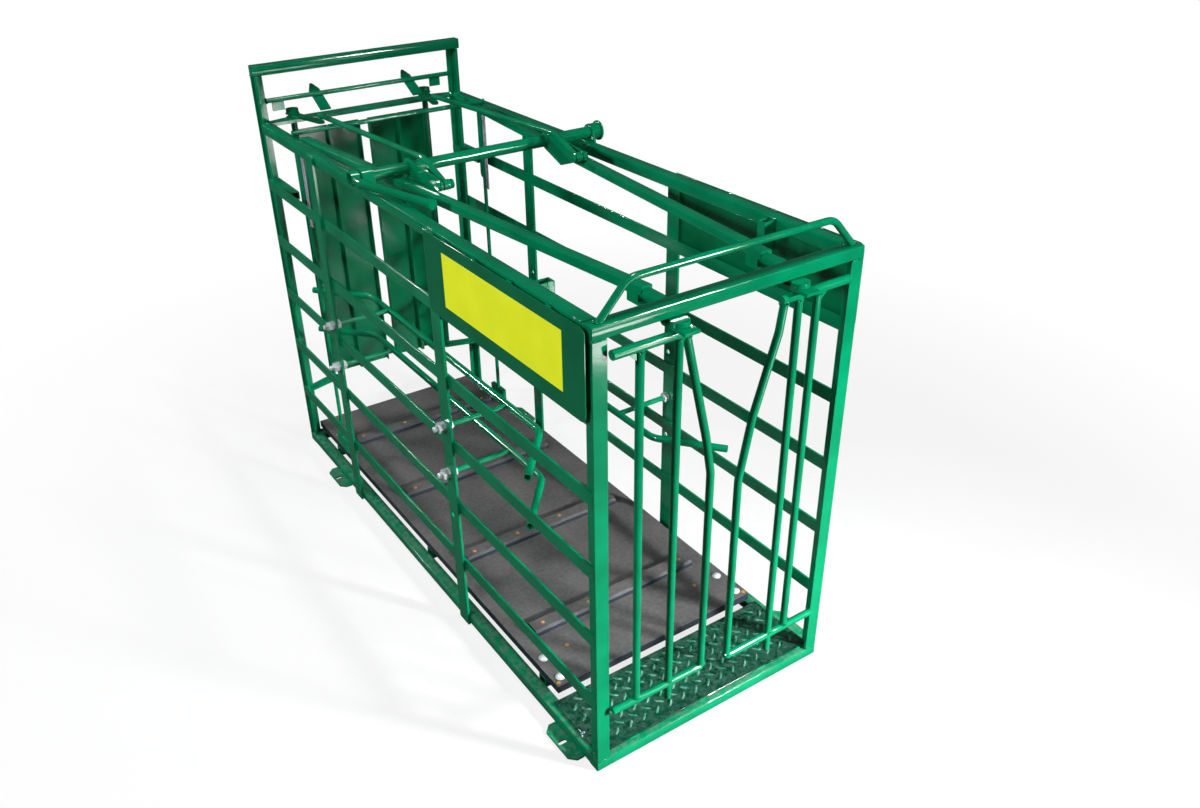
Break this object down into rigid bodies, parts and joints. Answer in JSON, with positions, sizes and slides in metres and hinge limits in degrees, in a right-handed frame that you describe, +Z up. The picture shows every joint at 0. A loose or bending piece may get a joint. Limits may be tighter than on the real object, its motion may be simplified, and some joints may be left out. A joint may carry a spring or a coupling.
{
  "type": "sheep crate",
  "caption": "Steel sheep crate with swinging exit gates, lever-worked entry doors and sliding side adjusters over a ribbed floor.",
  "frame": {"origin": "on the ground under the middle of the crate", "axes": "+Y along the crate from the exit end to the entry end, +Z up, +X to the right seen from the exit end"},
  "size_m": [0.632, 1.582, 1.078],
  "materials": {
    "green_paint": "gloss",
    "floor_mat": "matte",
    "zinc": "satin"
  },
  "bodies": {
    "frame": {"base_rail_front": "green_paint", "base_rail_rear": "green_paint", "base_rail_left": "green_paint", "base_rail_right": "green_paint", "base_cross_member_1": "green_paint", "base_cross_member_2": "green_paint", "base_cross_member_3": "green_paint", "foot_tab_front_left": "green_paint", "foot_tab_front_right": "green_paint", "foot_tab_rear_left": "green_paint", "foot_tab_rear_right": "green_paint", "post_front_left": "green_paint", "post_front_right": "green_paint", "post_rear_left": "green_paint", "post_rear_right": "green_paint", "header_rail": "green_paint", "top_rail_front": "green_paint", "top_rail_left": "green_paint", "top_rail_right": "green_paint", "rear_cross_rail": "green_paint", "stop_bar": "green_paint", "side_rail_left_1": "green_paint", "side_rail_left_2": "green_paint", "side_rail_left_3": "green_paint", "side_rail_left_4": "green_paint", "side_rail_left_5": "green_paint", "side_rail_right_1": "green_paint", "side_rail_right_2": "green_paint", "side_rail_right_3": "green_paint", "side_rail_right_4": "green_paint", "side_rail_right_5": "green_paint", "side_flat_left_front": "green_paint", "side_flat_left_rear": "green_paint", "side_flat_right_front": "green_paint", "side_flat_right_rear": "green_paint", "side_panel_left": "green_paint", "side_panel_right": "green_paint", "hoop": "green_paint", "tie_bar": "green_paint", "drop_rod_left": "green_paint", "drop_rod_right": "green_paint", "top_bar_left": "green_paint", "top_bar_right": "green_paint", "shaft_bearing_left": "green_paint", "shaft_bearing_right": "green_paint", "floor_mat": "floor_mat", "tread_plate": "green_paint"},
    "lever": {"lever_shaft": "green_paint", "lever_handle": "green_paint"},
    "link_pin_left": {"link_pin_left": "zinc"},
    "link_pin_right": {"link_pin_right": "zinc"},
    "link_rod_left": {"link_rod_left": "green_paint"},
    "link_rod_right": {"link_rod_right": "green_paint"},
    "entry_door_left": {"entry_door_left": "green_paint"},
    "entry_door_right": {"entry_door_right": "green_paint"},
    "exit_gate_left": {"exit_gate_left": "green_paint"},
    "exit_gate_right": {"exit_gate_right": "green_paint"},
    "adjuster_left_lower": {"adjuster_left_lower": "green_paint"},
    "adjuster_left_upper": {"adjuster_left_upper": "green_paint"},
    "adjuster_right": {"adjuster_right": "green_paint"}
  },
  "joints": [
    {"name": "lever_turn", "type": "hinge", "parent": "frame", "child": "lever", "pos_m": [0, 0.1, 0.955], "axis": [-1, 0, 0], "range_deg": [0, 90]},
    {"name": "link_pin_left_turn", "type": "hinge", "parent": "lever", "child": "link_pin_left", "pos_m": [-0.159, -0.045, 0.952], "axis": [-1, 0, 0], "range_deg": [-77.4, 0]},
    {"name": "link_rod_left_rock", "type": "hinge", "parent": "link_pin_left", "child": "link_rod_left", "pos_m": [-0.159, -0.045, 0.952], "axis": [0, 0, -1], "range_deg": [0, 8.3]},
    {"name": "entry_door_left_swing", "type": "hinge", "parent": "frame", "child": "entry_door_left", "pos_m": [-0.188, 0.762, 0], "axis": [0, 0, 1], "range_deg": [0, 75]},
    {"name": "exit_gate_left_swing", "type": "hinge", "parent": "frame", "child": "exit_gate_left", "pos_m": [-0.127, -0.759, 0], "axis": [0, 0, -1], "range_deg": [0, 85]},
    {"name": "link_pin_right_turn", "type": "hinge", "parent": "lever", "child": "link_pin_right", "pos_m": [0.159, -0.045, 0.952], "axis": [-1, 0, 0], "range_deg": [-77.4, 0]},
    {"name": "link_rod_right_rock", "type": "hinge", "parent": "link_pin_right", "child": "link_rod_right", "pos_m": [0.159, -0.045, 0.952], "axis": [0, 0, 1], "range_deg": [0, 8.3]},
    {"name": "entry_door_right_swing", "type": "hinge", "parent": "frame", "child": "entry_door_right", "pos_m": [0.188, 0.762, 0], "axis": [0, 0, -1], "range_deg": [0, 75]},
    {"name": "exit_gate_right_swing", "type": "hinge", "parent": "frame", "child": "exit_gate_right", "pos_m": [0.127, -0.759, 0], "axis": [0, 0, 1], "range_deg": [0, 85]},
    {"name": "adjuster_left_lower_slide", "type": "slide", "parent": "frame", "child": "adjuster_left_lower", "axis": [-1, 0, 0], "range_m": [-0.025, 0.035]},
    {"name": "adjuster_left_upper_slide", "type": "slide", "parent": "frame", "child": "adjuster_left_upper", "axis": [-1, 0, 0], "range_m": [-0.025, 0.035]},
    {"name": "adjuster_right_slide", "type": "slide", "parent": "frame", "child": "adjuster_right", "axis": [1, 0, 0], "range_m": [-0.025, 0.035]}
  ],
  "couplings": [
    {"joint": "link_pin_left_turn", "follows": "lever_turn", "ratio": -0.85958},
    {"joint": "link_rod_left_rock", "follows": "lever_turn", "ratio": 0.091916},
    {"joint": "entry_door_left_swing", "follows": "lever_turn", "ratio": 0.8318},
    {"joint": "link_pin_right_turn", "follows": "lever_turn", "ratio": -0.85958},
    {"joint": "link_rod_right_rock", "follows": "lever_turn", "ratio": 0.091916},
    {"joint": "entry_door_right_swing", "follows": "lever_turn", "ratio": 0.8318}
  ]
}
